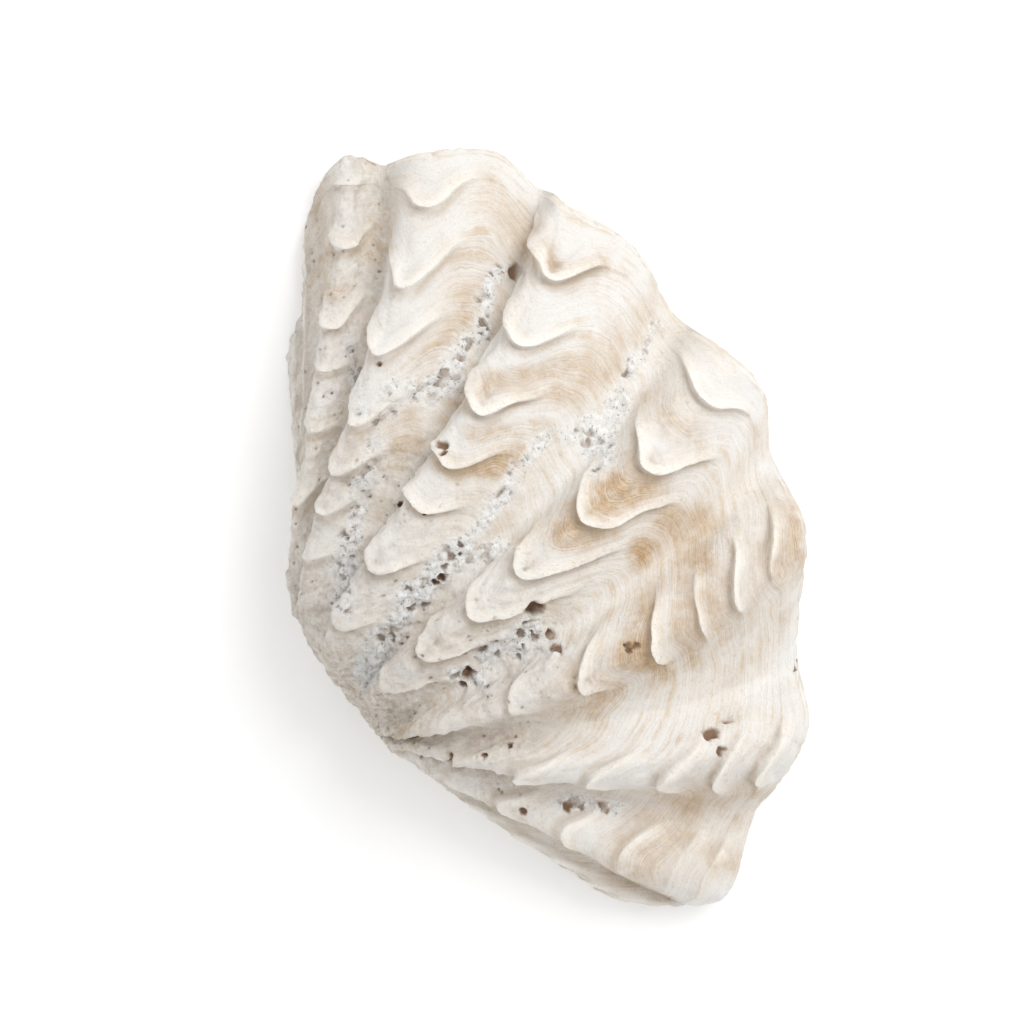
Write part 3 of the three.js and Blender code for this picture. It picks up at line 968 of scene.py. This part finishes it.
def thin(piece, triangles):
    """Thins a mesh to a number of triangles."""
    modifier = piece.modifiers.new("thin", "DECIMATE")
    modifier.ratio = min(1, triangles / len(piece.data.polygons))
    graph = bpy.context.evaluated_depsgraph_get()
    mesh = bpy.data.meshes.new_from_object(piece.evaluated_get(graph), depsgraph=graph)
    piece.modifiers.clear()
    old = piece.data
    piece.data = mesh
    bpy.data.meshes.remove(old)
    piece.data.name = piece.name
    return piece


# Materials

def linear(red, green, blue):
    """A colour given as the photograph's 0 to 255 values."""
    def one(value):
        value /= 255
        return value / 12.92 if value <= 0.04045 else ((value + 0.055) / 1.055) ** 2.4
    return (one(red), one(green), one(blue), 1)


class Nodes:
    """Short names for building a material's nodes."""

    def __init__(self, name):
        self.material = bpy.data.materials.new(name)
        self.material.use_nodes = True
        self.tree = self.material.node_tree
        self.shader = self.tree.nodes["Principled BSDF"]
        coordinates = self.tree.nodes.new("ShaderNodeTexCoord")
        mapping = self.tree.nodes.new("ShaderNodeMapping")
        mapping.inputs["Scale"].default_value = (1 / MM,) * 3
        self.tree.links.new(coordinates.outputs["Object"], mapping.inputs["Vector"])
        self.place = mapping.outputs["Vector"]

    def link(self, source, target):
        if hasattr(source, "is_output"):
            self.tree.links.new(source, target)
        else:
            target.default_value = source

    def noise(self, size, detail=4, roughness=0.55):
        node = self.tree.nodes.new("ShaderNodeTexNoise")
        self.link(self.place, node.inputs["Vector"])
        node.inputs["Scale"].default_value = 1 / size
        node.inputs["Detail"].default_value = detail
        node.inputs["Roughness"].default_value = roughness
        return node.outputs["Fac"]

    def lines(self, value, per_unit, detail=2):
        """Noise along one number."""
        node = self.tree.nodes.new("ShaderNodeTexNoise")
        node.noise_dimensions = "1D"
        self.link(value, node.inputs["W"])
        node.inputs["Scale"].default_value = per_unit
        node.inputs["Detail"].default_value = detail
        return node.outputs["Fac"]

    def cells(self, size):
        """Distance to the nearest of scattered grains, and a number for that grain."""
        node = self.tree.nodes.new("ShaderNodeTexVoronoi")
        self.link(self.place, node.inputs["Vector"])
        node.inputs["Scale"].default_value = 1 / size
        split = self.tree.nodes.new("ShaderNodeSeparateColor")
        self.tree.links.new(node.outputs["Color"], split.inputs["Color"])
        return node.outputs["Distance"], split.outputs["Red"]

    def mark(self, name):
        """The four numbers of a mark on the mesh."""
        node = self.tree.nodes.new("ShaderNodeAttribute")
        node.attribute_name = name
        split = self.tree.nodes.new("ShaderNodeSeparateColor")
        self.tree.links.new(node.outputs["Color"], split.inputs["Color"])
        return split.outputs["Red"], split.outputs["Green"], split.outputs["Blue"], node.outputs["Alpha"]

    def ramp(self, value, low, high, start=0, end=1):
        node = self.tree.nodes.new("ShaderNodeMapRange")
        node.interpolation_type = "SMOOTHSTEP"
        self.link(value, node.inputs["Value"])
        for socket, number in (("From Min", low), ("From Max", high), ("To Min", start), ("To Max", end)):
            node.inputs[socket].default_value = number
        return node.outputs["Result"]

    def math(self, operation, first, second):
        node = self.tree.nodes.new("ShaderNodeMath")
        node.operation = operation
        self.link(first, node.inputs[0])
        self.link(second, node.inputs[1])
        return node.outputs["Value"]

    def mix(self, factor, first, second, blend="MIX"):
        node = self.tree.nodes.new("ShaderNodeMix")
        node.data_type = "RGBA"
        node.blend_type = blend
        node.clamp_factor = True
        self.link(factor, node.inputs["Factor"])
        self.link(first, node.inputs[6])
        self.link(second, node.inputs[7])
        return node.outputs[2]

    def bump(self, height, strength, distance, normal=None):
        node = self.tree.nodes.new("ShaderNodeBump")
        node.inputs["Strength"].default_value = strength
        node.inputs["Distance"].default_value = distance * MM
        self.link(height, node.inputs["Height"])
        if normal is not None:
            self.link(normal, node.inputs["Normal"])
        return node.outputs["Normal"]


def weathered_outside():
    """Chalky white and tan shell that follows its growth lines, with crust, lips and pits, and painted
    light: highlights on the lips, shadow below them, shade in hollows and on the old side.
    """
    nodes = Nodes("weathered_shell")
    lip_highlight, spoon, step, _ = nodes.mark("hoods_and_painted_light")
    stain, crust, aged_and_shaded, pit = nodes.mark("stains_and_shade")
    hollow, _, _, level = nodes.mark("form")
    broad = nodes.noise(24, detail=3)
    patchy = nodes.noise(6, detail=6, roughness=0.6)
    speckle = nodes.noise(2.2, detail=6, roughness=0.75)
    fleck = nodes.noise(1.5, detail=3, roughness=0.8)
    grain = nodes.noise(0.7, detail=4, roughness=0.75)
    chips = nodes.noise(1.3, detail=6, roughness=0.85)
    gritty = nodes.noise(3.2, detail=8, roughness=0.82)
    grains, shade = nodes.cells(1.1)

    wander = nodes.math("MULTIPLY", nodes.noise(5, detail=3), 0.12)
    grown = nodes.math("ADD", nodes.math("MULTIPLY", level, LEVELS), wander)
    wide_lines = nodes.lines(grown, 7)
    fine_lines = nodes.lines(grown, 34, detail=3)

    colour = nodes.mix(nodes.ramp(broad, 0.35, 0.65), linear(241, 240, 237), linear(234, 227, 218))
    in_patches = nodes.ramp(patchy, 0.35, 0.7, 0.05, 0.75)
    tan = nodes.math("MULTIPLY", nodes.ramp(wide_lines, 0.45, 0.7), in_patches)
    colour = nodes.mix(tan, colour, linear(216, 194, 165))
    colour = nodes.mix(nodes.math("MULTIPLY", spoon, 0.65), colour, linear(235, 233, 230))
    streak = nodes.math("MULTIPLY", nodes.ramp(fine_lines, 0.42, 0.66), nodes.ramp(spoon, 0, 1, 0.24, 0.08))
    colour = nodes.mix(streak, colour, linear(207, 192, 173))

    worn_tan = nodes.mix(nodes.ramp(speckle, 0.35, 0.62), linear(207, 178, 138), linear(178, 143, 101))
    along_lines = nodes.ramp(fine_lines, 0.35, 0.65, -0.15, 0.3)
    uneven = nodes.math("ADD", nodes.ramp(patchy, 0.25, 0.6, 0.5, 1.05), along_lines)
    colour = nodes.mix(nodes.math("MULTIPLY", stain, uneven), colour, worn_tan)
    # Old weathered colour near the umbo and on the rough ribs, darker also as painted shade of the side
    # turned from the light
    old = nodes.mix(nodes.ramp(gritty, 0.36, 0.58), linear(196, 178, 155), linear(246, 240, 231))
    colour = nodes.mix(nodes.math("MULTIPLY", aged_and_shaded, 0.85), colour, old)

    # Crust: grains of random whiteness, the whitest partly painted glints, with grey chips as painted shade
    # between them
    facet = nodes.mix(shade, linear(236, 235, 232), linear(255, 255, 254))
    crust_grains_and_shade = nodes.mix(nodes.ramp(chips, 0.46, 0.38), facet, linear(150, 144, 137))
    thick = nodes.math("MULTIPLY", crust, nodes.ramp(patchy, 0.25, 0.6, 0.8, 1.3))
    colour = nodes.mix(thick, colour, crust_grains_and_shade)
    # Painted shadow in the band just below each lip
    colour = nodes.mix(nodes.math("MULTIPLY", step, 0.55), colour, linear(184, 164, 140))
    # Lip edges in lighter cream, partly a painted highlight where they catch the light
    colour = nodes.mix(nodes.math("MULTIPLY", lip_highlight, 0.9), colour, linear(250, 245, 236))
    # Painted shade: darker where the relief is hollow
    colour = nodes.mix(nodes.ramp(hollow, 0.47, 0.3, 0, 0.5), colour, linear(170, 154, 134))

    dirty = nodes.math("ADD", nodes.ramp(broad, 0.42, 0.6, 0.15, 0.7), nodes.math("MULTIPLY", stain, 0.5))
    flecks = nodes.math("MULTIPLY", nodes.ramp(fleck, 0.56, 0.68), dirty)
    colour = nodes.mix(nodes.math("MULTIPLY", flecks, 0.6), colour, linear(204, 178, 143))
    specks = nodes.math("MULTIPLY", nodes.ramp(speckle, 0.66, 0.72), dirty)
    colour = nodes.mix(nodes.math("MULTIPLY", specks, 0.7), colour, linear(142, 120, 96))
    colour = nodes.mix(nodes.ramp(grain, 0.5, 0.3, 0, 0.22), colour, linear(176, 160, 142))
    colour = nodes.mix(pit, colour, linear(138, 108, 82))
    nodes.link(colour, nodes.shader.inputs["Base Color"])

    rough_value = nodes.ramp(grain, 0.3, 0.7, 0.52, 0.72)
    rough_value = nodes.math("ADD", rough_value, nodes.math("MULTIPLY", crust, 0.2))
    rough_value = nodes.math("SUBTRACT", rough_value, nodes.math("MULTIPLY", spoon, 0.14))
    nodes.link(rough_value, nodes.shader.inputs["Roughness"])
    nodes.shader.inputs["Specular IOR Level"].default_value = 0.4

    chipped = nodes.math("SUBTRACT", chips, nodes.math("MULTIPLY", grains, 0.3))
    crusted = nodes.math("MULTIPLY", chipped, crust)
    bumped = nodes.bump(crusted, 0.7, 0.5)
    bumped = nodes.bump(nodes.math("MULTIPLY", gritty, aged_and_shaded), 0.8, 1.5, bumped)
    bumped = nodes.bump(speckle, 0.7, 0.6, bumped)
    bumped = nodes.bump(fine_lines, 0.4, 0.3, bumped)
    bumped = nodes.bump(wide_lines, 0.4, 0.6, bumped)
    nodes.link(nodes.bump(grain, 0.65, 0.26, bumped), nodes.shader.inputs["Normal"])
    return nodes.material


def smooth_inside():
    """Smooth porcelain of the hollow."""
    nodes = Nodes("porcelain_inside")
    broad = nodes.noise(30, detail=3)
    patchy = nodes.noise(8, detail=5)
    grain = nodes.noise(1.5, detail=4)
    colour = nodes.mix(nodes.ramp(broad, 0.35, 0.65), linear(246, 242, 236), linear(238, 228, 214))
    colour = nodes.mix(nodes.ramp(patchy, 0.6, 0.75, 0, 0.35), colour, linear(222, 200, 170))
    nodes.link(colour, nodes.shader.inputs["Base Color"])
    nodes.link(nodes.ramp(patchy, 0.3, 0.7, 0.28, 0.46), nodes.shader.inputs["Roughness"])
    nodes.link(nodes.bump(grain, 0.15, 0.1), nodes.shader.inputs["Normal"])
    return nodes.material


# Studio

def make_floor():
    bpy.ops.mesh.primitive_grid_add(x_subdivisions=8, y_subdivisions=8, size=FLOOR_SIZE)
    floor = bpy.context.object
    floor.name = "studio_floor"
    nodes = Nodes("studio_white")
    nodes.shader.inputs["Base Color"].default_value = FLOOR_COLOUR
    nodes.shader.inputs["Roughness"].default_value = 0.9
    nodes.shader.inputs["Specular IOR Level"].default_value = 0.1
    nodes.shader.inputs["Emission Color"].default_value = (1, 1, 1, 1)
    nodes.shader.inputs["Emission Strength"].default_value = FLOOR_GLOW
    floor.data.materials.append(nodes.material)


def make_light(name, place, size, energy):
    data = bpy.data.lights.new(name, "AREA")
    data.energy = energy
    data.size = size
    light = bpy.data.objects.new(name, data)
    light.location = place
    light.rotation_euler = (-Vector(place)).to_track_quat("-Z", "Y").to_euler()
    bpy.context.scene.collection.objects.link(light)


def make_camera():
    data = bpy.data.cameras.new("photo_camera")
    data.sensor_width = SENSOR
    data.lens = FOCAL_PIXELS / PHOTO_SIZE * SENSOR
    camera = bpy.data.objects.new("photo_camera", data)
    camera.location = (CAMERA_PLACE[0] * MM, CAMERA_PLACE[1] * MM, CAMERA_HEIGHT * MM)
    camera.rotation_euler = (0, 0, CAMERA_ROLL)
    bpy.context.scene.collection.objects.link(camera)
    bpy.context.scene.camera = camera


def make_studio():
    scene = bpy.context.scene
    world = bpy.data.worlds.new("studio")
    world.use_nodes = True
    background = world.node_tree.nodes["Background"]
    background.inputs["Color"].default_value = (1, 1, 1, 1)
    background.inputs["Strength"].default_value = SURROUND
    scene.world = world
    scene.view_settings.view_transform = "Standard"
    make_floor()
    up_right = CAMERA_ROLL + math.radians(45)
    place = (KEY_AWAY * math.cos(up_right), KEY_AWAY * math.sin(up_right), KEY_UP)
    make_light("key", place, KEY_SIZE, KEY_ENERGY)
    make_camera()


shell = thin(make_shell(), TRIANGLES)
shell.data.materials.append(weathered_outside())
shell.data.materials.append(smooth_inside())
for face in shell.data.polygons:
    face.use_smooth = True
shell.data.set_sharp_from_angle(angle=SHARP_FROM)
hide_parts("clam_valve")
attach(shell, "root")
make_studio()
